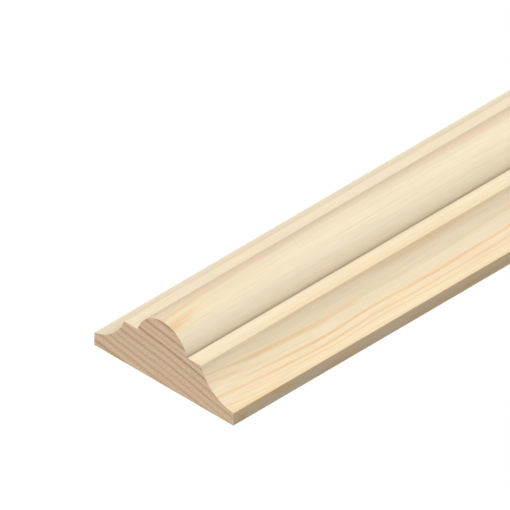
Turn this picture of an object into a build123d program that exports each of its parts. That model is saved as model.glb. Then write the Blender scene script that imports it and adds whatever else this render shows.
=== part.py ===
from build123d import *
import os

# Double astragal moulding: a trim section planed from one piece of softwood.
#
# A round bead stands near the middle of the section, between two flat fillets. Outside each fillet
# a cove sweeps down to a thin edge. The back is flat, and both ends are sawn square.
#
# The frame: X runs across the width, Y along the grain, and Z up from the flat back. The origin is
# the middle of the back. All sizes are in millimetres.

# Sizes of the stock as it is sold
length = 2400.0
width = 34.0
thickness = 13.4  # flat back to the crest of the bead

# Sizes of the section that the cutters leave
bead_width = 12.0  # across the foot of the bead, where it meets the fillets
bead_offset = 0.4  # the bead stands this far off the middle, towards -X
fillet_width = 3.4
fillet_height = 8.7  # flat back to the top of the fillets
cove_radius = 9.0  # one cutter shapes both coves
edge_thickness = 2.7  # at the foot of each cove
arris_radius = 0.15  # outer corners are eased this much, so that they don't splinter


def cove(arris, edge_top):
    """The hollow that runs from the arris of a fillet down to the top of a thin edge."""
    turn = cove_radius if arris[0] > edge_top[0] else -cove_radius
    return RadiusArc(arris, edge_top, turn)


def section():
    """The closed section, flat in the sketch plane, still with sharp corners."""
    bead_x = -bead_offset
    fillet_reach = bead_width / 2 + fillet_width

    back_left = (-width / 2, 0)
    back_right = (width / 2, 0)
    edge_left = (-width / 2, edge_thickness)
    edge_right = (width / 2, edge_thickness)
    arris_left = (bead_x - fillet_reach, fillet_height)
    arris_right = (bead_x + fillet_reach, fillet_height)
    foot_left = (bead_x - bead_width / 2, fillet_height)
    foot_right = (bead_x + bead_width / 2, fillet_height)
    crest = (bead_x, thickness)

    outline = [
        Line(back_left, back_right),
        Line(back_right, edge_right),
        cove(arris_right, edge_right),
        Line(arris_right, foot_right),
        ThreePointArc(foot_right, crest, foot_left),
        Line(foot_left, arris_left),
        cove(arris_left, edge_left),
        Line(edge_left, back_left),
    ]
    return make_face(outline)


def eased(face):
    """The section with its outer corners rounded over. The two at the foot of the bead stay."""
    near_bead = bead_width / 2 + fillet_width / 2
    outer_corners = [v for v in face.vertices() if abs(v.X + bead_offset) > near_bead]
    return fillet(outer_corners, arris_radius)


def moulding():
    """The section carried along Y, half of the length to each side of the origin."""
    upright_section = Plane.XZ * eased(section())
    return extrude(upright_section, amount=length / 2, both=True)


os.makedirs("parts", exist_ok=True)
export_step(moulding(), "parts/moulding.step")
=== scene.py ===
# %% [markdown]
# A double astragal moulding is one length of softwood that a moulder has planed to a section: a
# round bead between two flat fillets, with a cove sweeping down to a thin edge on either side. The
# CAD model gives the right solid, and this script gives it the look of planed pine. It does so in
# four steps: the section, the length swept from it, the finishes of the wood, and the studio.

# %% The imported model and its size
from math import asin, copysign, cos, pi, radians, sin

import bpy
from mathutils import Matrix, Vector


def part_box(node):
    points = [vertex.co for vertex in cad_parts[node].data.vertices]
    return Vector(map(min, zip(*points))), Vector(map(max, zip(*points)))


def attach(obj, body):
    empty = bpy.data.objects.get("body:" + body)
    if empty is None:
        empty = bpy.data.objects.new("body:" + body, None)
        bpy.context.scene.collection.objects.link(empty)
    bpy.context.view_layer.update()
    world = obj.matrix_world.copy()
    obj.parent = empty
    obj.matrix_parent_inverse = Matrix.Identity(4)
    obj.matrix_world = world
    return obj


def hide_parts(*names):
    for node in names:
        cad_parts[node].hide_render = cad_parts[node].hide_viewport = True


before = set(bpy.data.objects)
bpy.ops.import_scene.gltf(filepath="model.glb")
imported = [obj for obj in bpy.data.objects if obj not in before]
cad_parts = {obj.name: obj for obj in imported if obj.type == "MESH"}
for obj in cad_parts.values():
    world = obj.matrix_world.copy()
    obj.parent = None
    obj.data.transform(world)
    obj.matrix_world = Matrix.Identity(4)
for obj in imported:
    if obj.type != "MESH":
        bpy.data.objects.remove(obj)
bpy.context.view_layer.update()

low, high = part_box("moulding")
mm = 0.001
length = high.y - low.y
width = high.x - low.x
thickness = high.z
print(f"moulding {width / mm:.1f} x {thickness / mm:.1f} x {length / mm:.0f} mm")

# %% [markdown]
# The section could be read from the CAD mesh, but that mesh is coarse, and up close its round parts
# would show flat facets. It is drawn again here at the same sizes, as a fine chain of points. Each
# cove and the bead is one arc, given by its two ends and how deep it bows.

# %% Sizes of the section
bead_width = 12.0 * mm  # across its foot, where it meets the fillets
bead_x = -0.4 * mm
fillet_width = 3.4 * mm
fillet_height = 8.7 * mm
cove_radius = 9.0 * mm
edge_thickness = 2.7 * mm  # at the foot of each cove
arris_radius = 0.15 * mm  # the six outer corners are eased this much
arc_step = 0.25 * mm  # about 1.5 pixels of the picture, so no facet shows


def bow_of(start, end, radius):
    """How far an arc of this radius bows from the straight line between its ends."""
    half_chord = (end - start).length / 2
    return radius - (radius**2 - half_chord**2) ** 0.5


def arc(start, end, hollow):
    """Points from start up to end, without end. A hollow over 0 bows to the left of the way."""
    chord = end - start
    to_hollow = Vector((-chord.y, chord.x)).normalized() * copysign(1, hollow)
    bow = abs(hollow)
    radius = bow / 2 + chord.length_squared / (8 * bow)
    centre = (start + end) / 2 + to_hollow * (bow - radius)
    turn = copysign(2 * asin(chord.length / 2 / radius), -hollow)
    steps = round(abs(turn) * radius / arc_step)
    spoke = start - centre
    return [centre + Matrix.Rotation(turn * i / steps, 2) @ spoke for i in range(steps)]


# %% The section as a chain of points
def section_points():
    """The outline from the middle of the back all the way round, and its six outer corners."""
    edge_x = width / 2
    reach = bead_width / 2 + fillet_width
    back_right, back_left = Vector((edge_x, 0)), Vector((-edge_x, 0))
    edge_right, edge_left = Vector((edge_x, edge_thickness)), Vector((-edge_x, edge_thickness))
    arris_right, arris_left = (Vector((bead_x + side * reach, fillet_height)) for side in (1, -1))
    foot_right, foot_left = (
        Vector((bead_x + side * bead_width / 2, fillet_height)) for side in (1, -1)
    )
    points = [Vector((0, 0)), back_right]
    points += arc(edge_right, arris_right, bow_of(edge_right, arris_right, cove_radius))
    points += [arris_right]
    points += arc(foot_right, foot_left, fillet_height - thickness)
    points += [foot_left]
    points += arc(arris_left, edge_left, bow_of(arris_left, edge_left, cove_radius))
    points += [edge_left, back_left, Vector((0, 0))]
    return points, [back_right, edge_right, arris_right, arris_left, edge_left, back_left]


def section_chain():
    """The outline as a mesh of edges, flat in XY. Each outer corner carries its radius."""
    points, corners = section_points()
    radii = [arris_radius if point in corners else 0.0 for point in points]
    edges = [(i, i + 1) for i in range(len(points) - 1)]
    mesh = bpy.data.meshes.new("planed_moulding")
    mesh.from_pydata([(*point, 0) for point in points], edges, [])
    mesh.attributes.new("corner_radius", "FLOAT", "POINT").data.foreach_set("value", radii)
    print(f"section: {len(points)} points, {sum(r > 0 for r in radii)} corners to ease")
    return mesh


# %% [markdown]
# A moulding is the plainest sweep there is: one section carried straight along the grain. Geometry
# Nodes make it, because the rule is short and its sizes stay open to change. The chain is eased at
# its corners, stood upright and extruded to a strip. Three strips in a row make the length, so that
# a baked texture can hold them side by side at a useful size. The same chain, filled, is the shape
# of both sawn ends.

# %% A helper for every node tree
def add(tree, kind, inputs=None, **settings):
    """Adds a node with its settings. Each input takes a value, a socket, or a node's first output."""
    node = tree.nodes.new(kind)
    for name, value in settings.items():
        setattr(node, name, value)
    for name, value in (inputs or {}).items():
        if isinstance(value, bpy.types.Node):
            value = value.outputs[0]
        if isinstance(value, bpy.types.NodeSocket):
            tree.links.new(value, node.inputs[name])
        else:
            node.inputs[name].default_value = value
    return node


# %% Where strips and ends lie on the square of the bake map
map_pixels = 1024  # to a side
map_gap = 5 / map_pixels  # left clear round strips and ends, so that no colour bleeds across
strip_density = 3.4 / map_pixels / mm  # parts of the map for each metre across a strip
strip_pitch = 0.283  # from strip to strip: the way round the section, and a gap
end_density = 9.0 / map_pixels / mm  # more of it, because an end is small
end_left = 0.86  # just past the last strip
end_pitch = 0.34  # from end to end: the width of the section, and a gap


def bake_map(tree, geometry, is_end, given):
    """Gives every corner its spot on the map: strips side by side, then the two ends."""
    around, along, number = (
        add(tree, "GeometryNodeInputNamedAttribute", {"Name": name})
        for name in ("around", "along", "number")
    )
    axes = add(tree, "ShaderNodeSeparateXYZ", {0: add(tree, "GeometryNodeInputPosition")}).outputs
    flat_strip = add(tree, "ShaderNodeCombineXYZ", {"X": around, "Y": along})
    flat_end = add(tree, "ShaderNodeCombineXYZ", {"X": axes["Z"], "Y": axes["X"]})
    end_middle = add(tree, "ShaderNodeMath", {0: given["Width"], 1: end_density / 2, 2: map_gap},
                     operation="MULTIPLY_ADD")
    first_end = add(tree, "ShaderNodeCombineXYZ", {"X": end_left, "Y": end_middle})

    # Each is laid flat to scale, one pitch on from the one before
    spots = []
    for flat, scale, pitch, first in (
        (flat_strip, (strip_density, 1 - 2 * map_gap, 0), (strip_pitch, 0, 0), (map_gap, map_gap, 0)),
        (flat_end, (end_density, end_density, 0), (0, end_pitch, 0), first_end),
    ):
        shift = add(tree, "ShaderNodeVectorMath", {0: number, 1: pitch, 2: first},
                    operation="MULTIPLY_ADD")
        spots.append(add(tree, "ShaderNodeVectorMath", {0: flat, 1: scale, 2: shift},
                         operation="MULTIPLY_ADD"))
    spot = add(tree, "GeometryNodeSwitch", {"Switch": is_end, "False": spots[0], "True": spots[1]},
               input_type="VECTOR")
    return add(tree, "GeometryNodeStoreNamedAttribute", {
        0: geometry, "Name": "OFBake", "Value": spot,
    }, data_type="FLOAT2", domain="CORNER")


# %% The tree that sweeps the section
weld_distance = 1e-6  # metres: closes the seams between strips and ends, and moves no shape


def sweep_tree():
    """The node tree: a chain of edges goes in, and one closed length of moulding comes out."""
    tree = bpy.data.node_groups.new("planed length", "GeometryNodeTree")
    for name, kind in {
        "Section": "Geometry", "Length": "Float", "Width": "Float", "Strips": "Int",
        "Corner points": "Int", "Sharp angle": "Float", "Planed": "Material", "Sawn": "Material",
    }.items():
        tree.interface.new_socket(name, in_out="INPUT", socket_type=f"NodeSocket{kind}")
    tree.interface.new_socket("Moulding", in_out="OUTPUT", socket_type="NodeSocketGeometry")
    given = add(tree, "NodeGroupInput").outputs
    upright = (radians(90), 0, 0)
    number = add(tree, "GeometryNodeInputIndex")
    y = add(tree, "ShaderNodeSeparateXYZ", {0: add(tree, "GeometryNodeInputPosition")}).outputs["Y"]

    # The chain as a curve, eased at its corners, with its running length kept on each point
    radius = add(tree, "GeometryNodeInputNamedAttribute", {"Name": "corner_radius"})
    chain = add(tree, "GeometryNodeMeshToCurve", {0: given["Section"]})
    eased = add(tree, "GeometryNodeFilletCurve", {
        0: chain, "Count": given["Corner points"], "Radius": radius, "Limit Radius": True,
    }, mode="POLY")
    running = add(tree, "GeometryNodeSplineParameter").outputs["Length"]
    marked = add(tree, "GeometryNodeStoreNamedAttribute", {0: eased, "Name": "around", "Value": running})

    # One strip of skin, and a row of them along the length
    share = add(tree, "ShaderNodeMath", {0: given["Length"], 1: given["Strips"]}, operation="DIVIDE")
    onward = add(tree, "ShaderNodeCombineXYZ", {"Y": share})
    wire = add(tree, "GeometryNodeTransform", {
        0: add(tree, "GeometryNodeCurveToMesh", {0: marked}), "Rotation": upright,
    })
    strip = add(tree, "GeometryNodeExtrudeMesh", {0: wire, "Offset": onward}, mode="EDGES")
    part = add(tree, "ShaderNodeMath", {0: y, 1: share}, operation="DIVIDE")
    strip = add(tree, "GeometryNodeStoreNamedAttribute", {0: strip, "Name": "along", "Value": part})
    start = add(tree, "ShaderNodeMath", {0: given["Length"], 1: -0.5}, operation="MULTIPLY")
    near_end = add(tree, "ShaderNodeCombineXYZ", {"Y": start})
    rail = add(tree, "GeometryNodeMeshLine", {
        "Count": given["Strips"], "Start Location": near_end, "Offset": onward,
    })
    rail = add(tree, "GeometryNodeStoreNamedAttribute", {0: rail, "Name": "number", "Value": number})
    skin = add(tree, "GeometryNodeInstanceOnPoints", {0: rail, "Instance": strip})

    # The two ends: the chain closed and filled
    closed = add(tree, "GeometryNodeSetSplineCyclic", {0: eased, "Cyclic": True})
    cut = add(tree, "GeometryNodeTransform", {
        0: add(tree, "GeometryNodeFillCurve", {0: closed}, mode="TRIANGLES"), "Rotation": upright,
    })
    cut = add(tree, "GeometryNodeStoreNamedAttribute", {0: cut, "Name": "is_end", "Value": True},
              data_type="BOOLEAN", domain="FACE")
    whole = add(tree, "ShaderNodeCombineXYZ", {"Y": given["Length"]})
    pair = add(tree, "GeometryNodeMeshLine", {"Count": 2, "Start Location": near_end, "Offset": whole})
    pair = add(tree, "GeometryNodeStoreNamedAttribute", {0: pair, "Name": "number", "Value": number})
    ends = add(tree, "GeometryNodeInstanceOnPoints", {0: pair, "Instance": cut})

    # All together as real faces, the far end turned to face away
    joined = add(tree, "GeometryNodeJoinGeometry")
    for piece in (ends, skin):
        tree.links.new(piece.outputs[0], joined.inputs[0])
    solid = add(tree, "GeometryNodeRealizeInstances", {0: joined})
    is_end = add(tree, "GeometryNodeInputNamedAttribute", {"Name": "is_end"},
                 data_type="BOOLEAN").outputs[0]
    beyond = add(tree, "FunctionNodeCompare", {0: y, 1: 0.0}, operation="GREATER_THAN")
    far = add(tree, "FunctionNodeBooleanMath", {0: is_end, 1: beyond}, operation="AND")
    solid = add(tree, "GeometryNodeFlipFaces", {0: solid, "Selection": far})

    # The map, one closed surface, and shading that is smooth on arcs and sharp at corners
    solid = bake_map(tree, solid, is_end, given)
    solid = add(tree, "GeometryNodeMergeByDistance", {0: solid, "Distance": weld_distance})
    angle = add(tree, "GeometryNodeInputMeshEdgeAngle")
    gentle = add(tree, "FunctionNodeCompare", {0: angle, 1: given["Sharp angle"]}, operation="LESS_THAN")
    solid = add(tree, "GeometryNodeSetShadeSmooth", {0: solid, "Shade Smooth": True})
    solid = add(tree, "GeometryNodeSetShadeSmooth", {0: solid, "Shade Smooth": gentle}, domain="EDGE")

    # Finishes
    solid = add(tree, "GeometryNodeSetMaterial", {0: solid, "Material": given["Planed"]})
    solid = add(tree, "GeometryNodeSetMaterial", {
        0: solid, "Selection": is_end, "Material": given["Sawn"],
    })
    add(tree, "NodeGroupOutput", {0: solid})
    return tree


# %% [markdown]
# Pine that has been planed and left bare is pale cream and matt with a faint silk. Its figure comes
# from the growth rings, which are shells round the pith of the tree. They are drawn as a solid
# pattern in the wood's own millimetres, so no seam or stretch can show. In this length the pith lay
# below the back and towards the far edge, so the rings cross the sawn end as nearly flat lines that
# fall towards the near edge. A trunk tapers, so the rings also sink a little along the grain.
#
# On the planed faces the eye sees something finer: thin honey lines along the grain, which fan out,
# close up again and wave a little. They swirl most at the near end, as they do beside a knot, and
# run calmer further along. They could be left to the rings, but rings this wide cut faces this
# narrow in a few broad flames. So a second solid pattern draws the lines, strong only where resin
# has gathered, and the rings show through it faintly.

# %% Colours
def linear(hex_colour):
    """The linear colour that a shader takes, from the sRGB hex that a picture shows."""
    parts = [int(hex_colour[i:i + 2], 16) / 255 for i in (1, 3, 5)]
    return (*(p / 12.92 if p <= 0.04045 else ((p + 0.055) / 1.055) ** 2.4 for p in parts), 1.0)


def set_stops(ramp, stops):
    """Fills a colour ramp node from pairs of a position and a colour, first to last."""
    elements = ramp.color_ramp.elements
    for element, (position, colour) in zip((elements[0], elements[1]), (stops[0], stops[-1])):
        element.position = position
        element.color = colour
    for position, colour in stops[1:-1]:
        elements.new(position).color = colour
    return ramp


# %% A noise with grains of a chosen size
noise_low, noise_high = 0.3, 0.7  # most of a noise lies between these


def stretched(tree, place, size, start=(0, 0, 0), detail=0):
    """Noise whose grains have this size along X, Y and Z in mm, read from a chosen start."""
    spot = add(tree, "ShaderNodeMapping", {
        "Vector": place, "Location": start, "Scale": tuple(1 / span for span in size),
    })
    return add(tree, "ShaderNodeTexNoise", {"Vector": spot, "Scale": 1, "Detail": detail})


# %% Sizes of the growth rings, all in millimetres
near_y = -length / 2 / mm  # where the near end is
pith = (-75.0, near_y, -387.0)  # the centre of the rings at the near end, from the part's origin
first_radius = 392.5  # from the pith to where the years below start, just under the back's middle
years = (1.95, 1.6, 1.4, 1.55, 1.6, 1.8, 1.33, 1.3, 2.2)  # how much the tree grew in each, repeated
boldness = (0.55, 0.55, 0.4, 0.62, 0.5, 1.0, 0.3, 0.75, 0.8)  # of the dark line that ends each year
season_stops = (  # how much latewood there is through one year, from dark line to dark line
    (0.0, 1.0), (0.11, 0.7), (0.2, 0.2), (0.3, 0.0), (0.62, 0.0), (0.76, 0.2), (0.88, 0.7), (1.0, 1.0),
)
trunk_fall = 0.03  # the rings sink this much for each millimetre along the grain
wanders = ((20, 240, 0.3), (4.5, 50, 0.08))  # swings of the rings: across, along, and how far
layer_grain = (9, 150, 0.22)  # size of the faint layers within a year: thicker than real, to show


def grey(value):
    return value, value, value, 1


def growth_rings():
    """A node group: the latewood and the faint layers at any spot in the wood, and the spot in mm."""
    tree = bpy.data.node_groups.new("growth rings", "ShaderNodeTree")
    for name in ("Latewood", "Layers"):
        tree.interface.new_socket(name, in_out="OUTPUT", socket_type="NodeSocketFloat")
    tree.interface.new_socket("Millimetres", in_out="OUTPUT", socket_type="NodeSocketVector")

    place = add(tree, "ShaderNodeTexCoord").outputs["Object"]
    in_mm = add(tree, "ShaderNodeVectorMath", {0: place, "Scale": 1 / mm}, operation="SCALE")
    from_pith = add(tree, "ShaderNodeVectorMath", {0: in_mm, 1: pith}, operation="SUBTRACT")
    across = add(tree, "ShaderNodeVectorMath", {0: from_pith, 1: (1, 0, 1)}, operation="MULTIPLY")
    radius = add(tree, "ShaderNodeVectorMath", {0: across}, operation="LENGTH").outputs["Value"]
    depth = add(tree, "ShaderNodeMath", {0: radius, 1: first_radius}, operation="SUBTRACT")

    # Rings sink along the grain and wander: slowly over centimetres, a little over millimetres
    axes = add(tree, "ShaderNodeSeparateXYZ", {0: from_pith}).outputs
    depth = add(tree, "ShaderNodeMath", {0: axes["Y"], 1: trunk_fall, 2: depth},
                operation="MULTIPLY_ADD")
    for span, run, swing in wanders:
        shift = add(tree, "ShaderNodeMapRange", {
            "Value": stretched(tree, in_mm, (span, run, span), detail=1),
            "From Min": noise_low, "From Max": noise_high, "To Min": -swing, "To Max": swing,
        })
        depth = add(tree, "ShaderNodeMath", {0: depth, 1: shift}, operation="ADD")

    # Which year it is, counted in the list and repeated, and the time of that year
    total = sum(years)
    turns = add(tree, "ShaderNodeMath", {0: depth, 1: total}, operation="DIVIDE")
    part = add(tree, "ShaderNodeMath", {0: turns}, operation="FRACT")
    starts = [sum(years[:i]) / total for i in range(len(years) + 1)]
    age = set_stops(add(tree, "ShaderNodeValToRGB", {0: part}),
                    [(start, grey(i / len(years))) for i, start in enumerate(starts)])
    age = add(tree, "ShaderNodeMath", {0: age, 1: len(years)}, operation="MULTIPLY")
    season = add(tree, "ShaderNodeMath", {0: age}, operation="FRACT")
    late = set_stops(add(tree, "ShaderNodeValToRGB", {0: season}),
                     [(time, grey(amount)) for time, amount in season_stops])

    # Each dark line has its own boldness, kept to half a year on either side of it
    nearest = add(tree, "ShaderNodeMath", {0: age, 1: 0.5}, operation="SUBTRACT")
    nearest = add(tree, "ShaderNodeMath", {0: nearest, 1: len(years)}, operation="DIVIDE")
    nearest = add(tree, "ShaderNodeMath", {0: nearest}, operation="FRACT")
    bold = add(tree, "ShaderNodeValToRGB", {0: nearest})
    bold.color_ramp.interpolation = "CONSTANT"
    set_stops(bold, [(i / len(years), grey(amount)) for i, amount in enumerate(boldness)])
    latewood = add(tree, "ShaderNodeMath", {0: late, 1: bold}, operation="MULTIPLY")

    # Faint layers, which lie in the rings
    spot = add(tree, "ShaderNodeCombineXYZ", {"X": axes["X"], "Y": axes["Y"], "Z": depth})
    layers = stretched(tree, spot, layer_grain, detail=1)
    add(tree, "NodeGroupOutput", {"Latewood": latewood, "Layers": layers, "Millimetres": in_mm})
    return tree


# %% Grains of the planed faces: their size in mm, and where their noise starts
# The starts work as seeds. A search through thousands of them picked those that come closest to the
# real piece. Single lines still differ from its own, and the bead's are fainter than they should be.
endless = 1e6  # a grain so big that nothing changes that way
tint_grain = (3, 250, 3), (2682.46, 0, 2682.46)
resin_grain = (4, 90, 4), (1953.62, 0, 1953.62)
line_grain = (0.45, 150, 2), (124.67, 0, 124.67)
fan_grain = (endless, 70, endless), (0.5, 3638.72, 0.5)
wave_grain = (25, 20, 25), (1064.49, 0, 1064.49)
fibre_grain = (0.3, 8, 0.3), (5, 0, 5)  # ten times the width of a real fibre, to show at all

# %% The fine lines of the planed faces, in millimetres
fan_middle = 6.0  # the lines spread apart on both sides of this X, and close up again further on
fan_reach = 9.0  # further from it than this they move almost as one
fan_swing = (-7.05, 5.72)  # how far those at the sides stand in, and out, over the noise's range
wave_height = 0.75
line_start, line_full = 0.48, 0.72  # the noise that a line begins at, and is darkest from
swirl_run = 100.0  # three times as far from the near end as this, the lines swirl half as often


def figure_lines(tree, in_mm):
    """0 to 1: thin lines along the grain, which fan out, close up again and wave together."""
    axes = add(tree, "ShaderNodeSeparateXYZ", {0: in_mm}).outputs
    aside = add(tree, "ShaderNodeMath", {0: axes["X"], 1: 1 / fan_reach, 2: -fan_middle / fan_reach},
                operation="MULTIPLY_ADD")
    aside = add(tree, "ShaderNodeMath", {0: aside}, operation="TANH")

    # Near the end the lines swirl, as they do beside a knot, and further along they run calmer
    runs = add(tree, "ShaderNodeMath", {0: axes["Y"], 1: 1 / swirl_run, 2: 1 - near_y / swirl_run},
               operation="MULTIPLY_ADD")
    runs = add(tree, "ShaderNodeMath", {0: runs}, operation="SQRT")
    calm_y = add(tree, "ShaderNodeMath", {0: runs, 1: 2 * swirl_run, 2: near_y - 2 * swirl_run},
                 operation="MULTIPLY_ADD")
    calm = add(tree, "ShaderNodeCombineXYZ", {"X": axes["X"], "Y": calm_y, "Z": axes["Z"]})
    swing = add(tree, "ShaderNodeMapRange", {
        "Value": stretched(tree, calm, *fan_grain), "To Min": fan_swing[0], "To Max": fan_swing[1],
    })
    wave = add(tree, "ShaderNodeMapRange", {
        "Value": stretched(tree, calm, *wave_grain), "To Min": -wave_height, "To Max": wave_height,
    })
    fan = add(tree, "ShaderNodeMath", {0: aside, 1: swing}, operation="MULTIPLY")
    x = add(tree, "ShaderNodeMath", {0: axes["X"], 1: fan}, operation="SUBTRACT")
    x = add(tree, "ShaderNodeMath", {0: x, 1: wave}, operation="ADD")
    place = add(tree, "ShaderNodeCombineXYZ", {"X": x, "Y": axes["Y"], "Z": axes["Z"]})
    return add(tree, "ShaderNodeMapRange", {
        "Value": stretched(tree, place, *line_grain), "From Min": line_start, "From Max": line_full,
    })


# %% One flame of honey, where a ring is cut almost level at the near end of the crest
# No rule of the wood gives the flame, the paler wood and the warmer arrises below. They are set to match
# the real piece, as a painter would touch up a graining. How dark the bead's foot is was set to match it
# too, as painted shade for the corners there.
flame_start = (1.9, near_y, 13)  # a spot near the crest
flame_size = (1.0, 6, 5)
flame_drift = 0.16  # millimetres towards -X for each along the grain
flame_core, flame_rim = 0.3, 1.3  # as parts of its size: full honey up to one, none from the other


def flame(tree, in_mm):
    """1 at the end of the crest, narrowing to 0 along the grain."""
    apart = add(tree, "ShaderNodeVectorMath", {0: in_mm, 1: flame_start}, operation="SUBTRACT")
    axes = add(tree, "ShaderNodeSeparateXYZ", {0: apart}).outputs
    x = add(tree, "ShaderNodeMath", {0: axes["Y"], 1: flame_drift, 2: axes["X"]},
            operation="MULTIPLY_ADD")
    spot = add(tree, "ShaderNodeCombineXYZ", {"X": x, "Y": axes["Y"], "Z": axes["Z"]})
    spot = add(tree, "ShaderNodeVectorMath", {0: spot, 1: flame_size}, operation="DIVIDE")
    away = add(tree, "ShaderNodeVectorMath", {0: spot}, operation="LENGTH").outputs["Value"]
    return add(tree, "ShaderNodeMapRange", {
        "Value": away, "From Min": flame_core, "From Max": flame_rim, "To Min": 1.0, "To Max": 0.0,
    })


# %% Paler wood on the flanks of the bead and towards the far edge
flank_height = 10.2  # the middle of the flanks, above the back
flank_spread = (0.9, 2.4)  # palest up to so far above and below it, and as usual from there
far_span = (-16.0, -9.0)  # palest from the first X outwards, and as usual from the second
pale_share = 0.2  # how much honey is left where it is palest


def honey_share(tree, in_mm):
    """1 where the wood holds its usual honey, and less on the bead's flanks and at the far edge."""
    axes = add(tree, "ShaderNodeSeparateXYZ", {0: in_mm}).outputs
    above = add(tree, "ShaderNodeMath", {0: axes["Z"], 1: flank_height}, operation="SUBTRACT")
    above = add(tree, "ShaderNodeMath", {0: above}, operation="ABSOLUTE")
    flank = add(tree, "ShaderNodeMapRange", {
        "Value": above, "From Min": flank_spread[0], "From Max": flank_spread[1], "To Min": pale_share,
    })
    far = add(tree, "ShaderNodeMapRange", {
        "Value": axes["X"], "From Min": far_span[0], "From Max": far_span[1], "To Min": pale_share,
    })
    return add(tree, "ShaderNodeMath", {0: flank, 1: far}, operation="MULTIPLY")


# %% Warmer wood along two arrises: the near edge's, and the near fillet's
edge_band = (16.0, 17.0), (0.6, 2.4)  # from nothing to full: across the width, and up from the back
fillet_band = (7.4, 8.8), (7.6, 8.6)


def arris_band(tree, in_mm, across, upwards):
    """1 at an arris, fading over these spans down from it and in from it."""
    axes = add(tree, "ShaderNodeSeparateXYZ", {0: in_mm}).outputs
    out, up = (
        add(tree, "ShaderNodeMapRange", {"Value": axes[axis], "From Min": none, "From Max": full})
        for axis, (none, full) in (("X", across), ("Z", upwards))
    )
    return add(tree, "ShaderNodeMath", {0: out, 1: up}, operation="MULTIPLY")


# %% Painted shade at the foot of the bead, in the corners where it meets the fillets
foot_height = fillet_height / mm
painted_shade_reach = 0.6  # mm over which the painted shade fades
fillet_haste = 4.0  # how many times faster it fades over the fillets than up the bead


def painted_foot_shade(tree, in_mm):
    """Painted shade: 1 at the two feet of the bead, fading up the bead, and faster out over the fillets.
    """
    axes = add(tree, "ShaderNodeSeparateXYZ", {0: in_mm}).outputs
    from_bead = add(tree, "ShaderNodeMath", {0: axes["X"], 1: bead_x / mm}, operation="SUBTRACT")
    aside = add(tree, "ShaderNodeMath", {0: from_bead}, operation="ABSOLUTE")
    aside = add(tree, "ShaderNodeMath", {0: aside, 1: bead_width / 2 / mm}, operation="SUBTRACT")
    outward = add(tree, "ShaderNodeMath", {0: aside, 1: 0.0}, operation="MAXIMUM")
    aside = add(tree, "ShaderNodeMath", {0: outward, 1: fillet_haste - 1, 2: aside},
                operation="MULTIPLY_ADD")
    above = add(tree, "ShaderNodeMath", {0: axes["Z"], 1: foot_height}, operation="SUBTRACT")
    spot = add(tree, "ShaderNodeCombineXYZ", {"X": aside, "Z": above})
    away = add(tree, "ShaderNodeVectorMath", {0: spot}, operation="LENGTH").outputs["Value"]
    faded = add(tree, "ShaderNodeMath", {0: away, 1: -1 / painted_shade_reach}, operation="MULTIPLY")
    return add(tree, "ShaderNodeMath", {0: faded}, operation="EXPONENT")


# %% Planed pine
tints = (0.25, "#F7EBCB"), (0.45, "#F7E9CB"), (0.65, "#F8E6CB")  # cream, a little pinker in some bands
honey_colour = "#F2CD9B"
resin_span = (0.4, 0.78)  # the noise at which there is least resin, and most
least_resin = 0.05
resin_honey, line_honey = 0.24, 0.5  # where resin is full: between the lines, and more in them
lone_line_honey = 0.26  # more in every line, with resin or without
ring_honey = 0.12  # in the latewood of a ring
flame_honey = 0.6
edge_honey, fillet_honey = 0.45, 0.25
fibre_shade = 0.035  # how much lighter and darker single fibres are
fibre_depth = 0.05 * mm
clear_roughness, honey_roughness = 0.62, 0.5  # resin takes a little more polish
painted_shade_strength = 0.58  # how much darker the painted shade makes the foot of the bead


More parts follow.
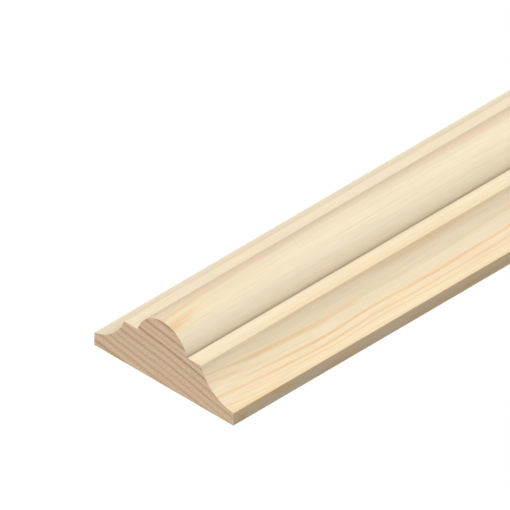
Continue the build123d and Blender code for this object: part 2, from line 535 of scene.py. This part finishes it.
def planed_pine(rings):
    """Bare pine off the planer: cream earlywood, honey latewood, and a faint silk along the grain."""
    material = bpy.data.materials.new("planed pine")
    material.use_nodes = True
    tree = material.node_tree
    shader = tree.nodes["Principled BSDF"]
    wood = add(tree, "ShaderNodeGroup", node_tree=rings).outputs
    in_mm = wood["Millimetres"]
    base = set_stops(add(tree, "ShaderNodeValToRGB", {0: stretched(tree, in_mm, *tint_grain)}),
                     [(at, linear(colour)) for at, colour in tints])

    # Honey: in the figure's lines, most of all where resin has gathered, and a little in the rings
    lines = figure_lines(tree, in_mm)
    resin = add(tree, "ShaderNodeMapRange", {
        "Value": stretched(tree, in_mm, *resin_grain),
        "From Min": resin_span[0], "From Max": resin_span[1], "To Min": least_resin,
    })
    honey = add(tree, "ShaderNodeMath", {0: lines, 1: line_honey, 2: resin_honey},
                operation="MULTIPLY_ADD")
    honey = add(tree, "ShaderNodeMath", {0: honey, 1: resin}, operation="MULTIPLY")
    for pattern, amount in ((lines, lone_line_honey), (wood["Latewood"], ring_honey)):
        honey = add(tree, "ShaderNodeMath", {0: pattern, 1: amount, 2: honey},
                    operation="MULTIPLY_ADD")
    honey = add(tree, "ShaderNodeMath", {0: honey, 1: honey_share(tree, in_mm)}, operation="MULTIPLY")

    # Warm places, which keep all their honey on the paler wood too
    for pattern, amount in (
        (flame(tree, in_mm), flame_honey),
        (arris_band(tree, in_mm, *edge_band), edge_honey),
        (arris_band(tree, in_mm, *fillet_band), fillet_honey),
    ):
        honey = add(tree, "ShaderNodeMath", {0: pattern, 1: amount, 2: honey},
                    operation="MULTIPLY_ADD")

    # In a mix of colours, sockets 6 and 7 are the two colours, and output 2 is the result
    tinted = add(tree, "ShaderNodeMix", {0: honey, 6: base, 7: linear(honey_colour)},
                 data_type="RGBA").outputs[2]

    # Fibres, and the painted shade in the corners at the foot of the bead
    fibre = add(tree, "ShaderNodeMapRange", {
        "Value": stretched(tree, in_mm, *fibre_grain, detail=2),
        "From Min": noise_low, "From Max": noise_high,
        "To Min": 1 - fibre_shade, "To Max": 1 + fibre_shade,
    })
    kept = add(tree, "ShaderNodeMath", {0: painted_foot_shade(tree, in_mm), 1: -painted_shade_strength, 2: fibre},
               operation="MULTIPLY_ADD")
    colour = add(tree, "ShaderNodeVectorMath", {0: tinted, "Scale": kept}, operation="SCALE")
    bump = add(tree, "ShaderNodeBump", {"Strength": 0.25, "Distance": fibre_depth, "Height": fibre})
    gloss = add(tree, "ShaderNodeMapRange", {
        "Value": honey, "To Min": clear_roughness, "To Max": honey_roughness,
    })

    tree.links.new(colour.outputs[0], shader.inputs["Base Color"])
    tree.links.new(bump.outputs[0], shader.inputs["Normal"])
    tree.links.new(gloss.outputs[0], shader.inputs["Roughness"])
    shader.inputs["IOR"].default_value = 1.5
    shader.inputs["Specular IOR Level"].default_value = 0.2
    return material


# %% Sawn end grain
sawn_colour, sawn_line_colour = "#E4C8A9", "#BC9A73"
line_strength = 0.95  # how far the boldest ring's line goes towards its colour
layer_strength = 0.25
layer_span = (0.45, 0.7)  # the noise that a faint layer begins at, and is darkest from
pore_size = 1 / 2.6  # mm: open fibre ends, ten times the real width, to show at all
pore_shade = 0.11  # how much lighter and darker they are
pore_depth = 0.08 * mm


def sawn_pine(rings):
    """Pine cut across by a saw: open fibre ends drink the light, so it is a darker, rougher tan."""
    material = bpy.data.materials.new("sawn pine end grain")
    material.use_nodes = True
    tree = material.node_tree
    shader = tree.nodes["Principled BSDF"]
    wood = add(tree, "ShaderNodeGroup", node_tree=rings).outputs
    layers = add(tree, "ShaderNodeMapRange", {
        "Value": wood["Layers"],
        "From Min": layer_span[0], "From Max": layer_span[1], "To Max": layer_strength,
    })
    line = add(tree, "ShaderNodeMath", {0: wood["Latewood"], 1: line_strength, 2: layers},
               operation="MULTIPLY_ADD")
    tinted = add(tree, "ShaderNodeMix", {
        0: line, 6: linear(sawn_colour), 7: linear(sawn_line_colour),
    }, data_type="RGBA").outputs[2]
    pores = stretched(tree, wood["Millimetres"], 3 * (pore_size,), detail=3)
    speckle = add(tree, "ShaderNodeMapRange", {
        "Value": pores, "From Min": noise_low, "From Max": noise_high,
        "To Min": 1 - pore_shade, "To Max": 1 + pore_shade,
    })
    colour = add(tree, "ShaderNodeVectorMath", {0: tinted, "Scale": speckle}, operation="SCALE")
    bump = add(tree, "ShaderNodeBump", {"Strength": 0.4, "Distance": pore_depth, "Height": pores})
    tree.links.new(colour.outputs[0], shader.inputs["Base Color"])
    tree.links.new(bump.outputs[0], shader.inputs["Normal"])
    shader.inputs["Roughness"].default_value = 0.8
    shader.inputs["IOR"].default_value = 1.5
    shader.inputs["Specular IOR Level"].default_value = 0.1
    return material


rings = growth_rings()
planed = planed_pine(rings)
sawn = sawn_pine(rings)
print(f"finishes: {planed.name}, {sawn.name}, with rings {sum(years) / len(years):.1f} mm apart")

# %% Sweep the section and keep the result as a plain mesh
strips = 3
corner_points = 8  # round each eased corner
sharp_angle = radians(32)  # more than the turn at one point of an eased corner


def swept_moulding():
    """The chain with the sweep on it, turned to a plain mesh with nothing left to work out."""
    piece = bpy.data.objects.new("planed_moulding", section_chain())
    bpy.context.scene.collection.objects.link(piece)
    tree = sweep_tree()
    sweep = piece.modifiers.new("sweep", "NODES")
    sweep.node_group = tree
    given = {
        "Length": length, "Width": width, "Strips": strips, "Corner points": corner_points,
        "Sharp angle": sharp_angle, "Planed": planed, "Sawn": sawn,
    }
    for socket in tree.interface.items_tree:
        if socket.in_out == "INPUT" and socket.name in given:
            sweep[socket.identifier] = given[socket.name]
    evaluated = piece.evaluated_get(bpy.context.evaluated_depsgraph_get())
    mesh = bpy.data.meshes.new_from_object(evaluated)
    piece.modifiers.remove(sweep)
    piece.data = mesh
    print(f"swept: {len(mesh.vertices)} points, {len(mesh.polygons)} faces")
    return piece


moulding = swept_moulding()
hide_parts("moulding")
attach(moulding, "root")

# %% [markdown]
# The picture is a cut-out on white, taken from far off with a long lens, so its long edges stay
# almost parallel. A camera without perspective gives that. It is placed by the near bottom corner
# of the moulding, whose spot in the picture is known.

# %% Camera
azimuth = radians(44.92)  # round from straight before the near end
elevation = radians(35.66)
picture = 510  # pixels to a side
end_pixels = 139.2  # how wide the sawn end is in the picture
near_corner = Vector((width / 2, -length / 2, 0))
corner_pixel = Vector((233.1, 425.4))  # its spot, from the top left of the picture
camera_distance = 1.5  # clear of the wood: without perspective it changes nothing else
camera_sight = 10.0

picture_scale = end_pixels / (width * cos(azimuth))
to_right = Vector((cos(azimuth), sin(azimuth), 0))
to_camera = Vector((sin(azimuth) * cos(elevation), -cos(azimuth) * cos(elevation), sin(elevation)))
to_top = to_camera.cross(to_right)
middle = (picture - 1) / 2
aim = near_corner + to_right * (middle - corner_pixel.x) / picture_scale
aim += to_top * (corner_pixel.y - middle) / picture_scale

lens = bpy.data.cameras.new("camera")
lens.type = "ORTHO"
lens.ortho_scale = picture / picture_scale
lens.clip_end = camera_sight
camera = bpy.data.objects.new("camera", lens)
camera.location = aim + to_camera * camera_distance
camera.rotation_mode = "QUATERNION"
camera.rotation_quaternion = to_camera.to_track_quat("Z", "Y")
bpy.context.scene.collection.objects.link(camera)
bpy.context.scene.camera = camera
print(f"camera: {lens.ortho_scale / mm:.1f} mm across the picture")

# %% [markdown]
# The light is a soft key and a dim even sky. The key stands above the camera and a little to its
# left, close enough to it that every face in the picture is lit. It is a sun, wide enough to act as
# a large soft box, because a sun stays the same along all 2.4 metres. To the camera the sky and the
# floor are white, but to the wood they are dimmer, so the faces turned away keep their shade.

# %% Studio light
def sees_white(tree):
    """1 for rays that should find white: the camera's, and those in gloss or glass."""
    path = add(tree, "ShaderNodeLightPath").outputs
    seen = path["Is Camera Ray"]
    for ray in ("Is Glossy Ray", "Is Transmission Ray"):
        seen = add(tree, "ShaderNodeMath", {0: seen, 1: path[ray]}, operation="MAXIMUM")
    return seen


sky_level = 0.2
key_level = 1.0
key_from = Vector((0.22, -0.62, 0.755))
key_spread = radians(60)  # how wide the light is, seen from the wood

world = bpy.data.worlds.new("studio")
world.use_nodes = True
sky = world.node_tree
level = add(sky, "ShaderNodeMapRange", {"Value": sees_white(sky), "To Min": sky_level, "To Max": 1.0})
sky.links.new(level.outputs[0], sky.nodes["Background"].inputs["Strength"])
sky.nodes["Background"].inputs["Color"].default_value = (1, 1, 1, 1)
bpy.context.scene.world = world

key = bpy.data.objects.new("key", bpy.data.lights.new("key", "SUN"))
key.data.energy = key_level * pi  # at a level of 1, matt white that faces it comes out just white
key.data.angle = key_spread
key.rotation_mode = "QUATERNION"
key.rotation_quaternion = key_from.to_track_quat("Z", "Y")
bpy.context.scene.collection.objects.link(key)
print(f"light: key {key_level}, sky {sky_level}")

# %% Floor
floor_half = 6.0  # metres from its middle to each side
paper_glow = 0.9  # to the camera: with the light that falls on it, just white
paper_grey = "#646464"  # what it gives back of that light


def floor_paper():
    """Matt white paper: white to the camera apart from the shadow, and dimmer to the wood."""
    material = bpy.data.materials.new("white backdrop paper")
    material.use_nodes = True
    tree = material.node_tree
    shader = tree.nodes["Principled BSDF"]
    shader.inputs["Base Color"].default_value = linear(paper_grey)
    shader.inputs["Roughness"].default_value = 1.0
    shader.inputs["Specular IOR Level"].default_value = 0.0
    shader.inputs["Emission Color"].default_value = (1, 1, 1, 1)
    glow = add(tree, "ShaderNodeMath", {0: sees_white(tree), 1: paper_glow}, operation="MULTIPLY")
    tree.links.new(glow.outputs[0], shader.inputs["Emission Strength"])
    return material


sheet = bpy.data.meshes.new("floor")
corners = [(x * floor_half, y * floor_half, 0) for x, y in ((-1, -1), (1, -1), (1, 1), (-1, 1))]
sheet.from_pydata(corners, [], [(0, 1, 2, 3)])
sheet.materials.append(floor_paper())
floor = bpy.data.objects.new("floor", sheet)
bpy.context.scene.collection.objects.link(floor)

# %% [markdown]
# Last, the script sets the picture to show colours plainly, with the Standard view and no film curve.

# %% Colour view
bpy.context.scene.view_settings.view_transform = "Standard"
